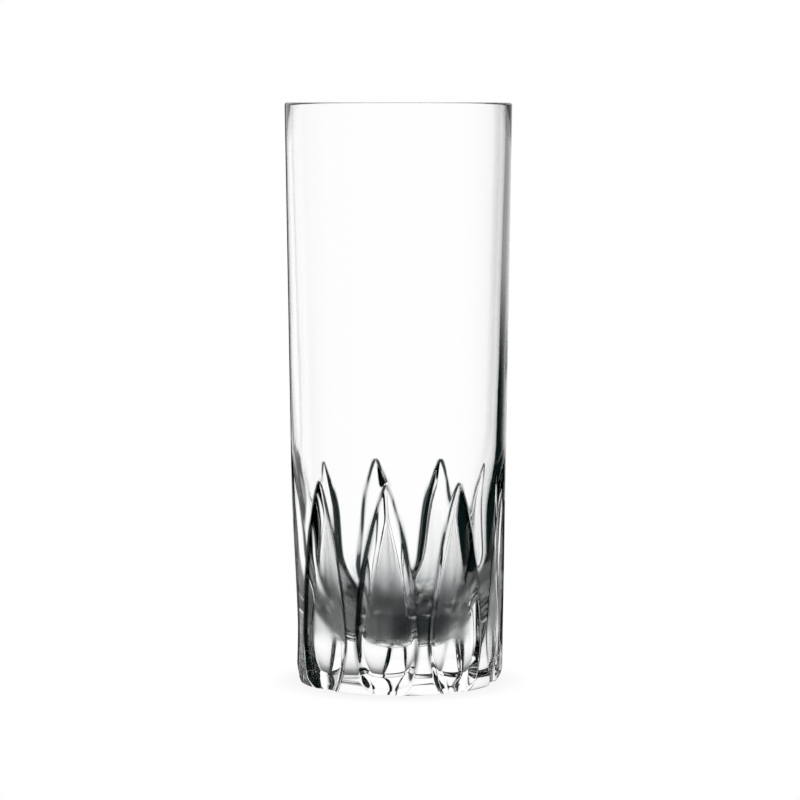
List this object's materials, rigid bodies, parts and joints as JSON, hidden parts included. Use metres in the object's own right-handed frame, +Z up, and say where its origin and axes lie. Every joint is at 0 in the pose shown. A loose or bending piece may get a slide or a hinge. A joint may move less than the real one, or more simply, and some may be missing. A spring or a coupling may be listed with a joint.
{
  "type": "juice glass",
  "caption": "Tall, slightly tapered tumbler of clear crystal with a thin rim, a heavy rounded base and a ring of pointed leaf cuts, for drinking juice.",
  "frame": {"origin": "centre of the foot, on the surface that the glass stands on", "axes": "+Z up the axis of the glass from foot to rim; -Y runs out through the middle of one leaf cut"},
  "size_m": [0.052, 0.052, 0.133],
  "materials": {
    "crystal": "polished, clear and colourless"
  },
  "bodies": {
    "root": {"glass_body": "crystal"}
  },
  "joints": []
}
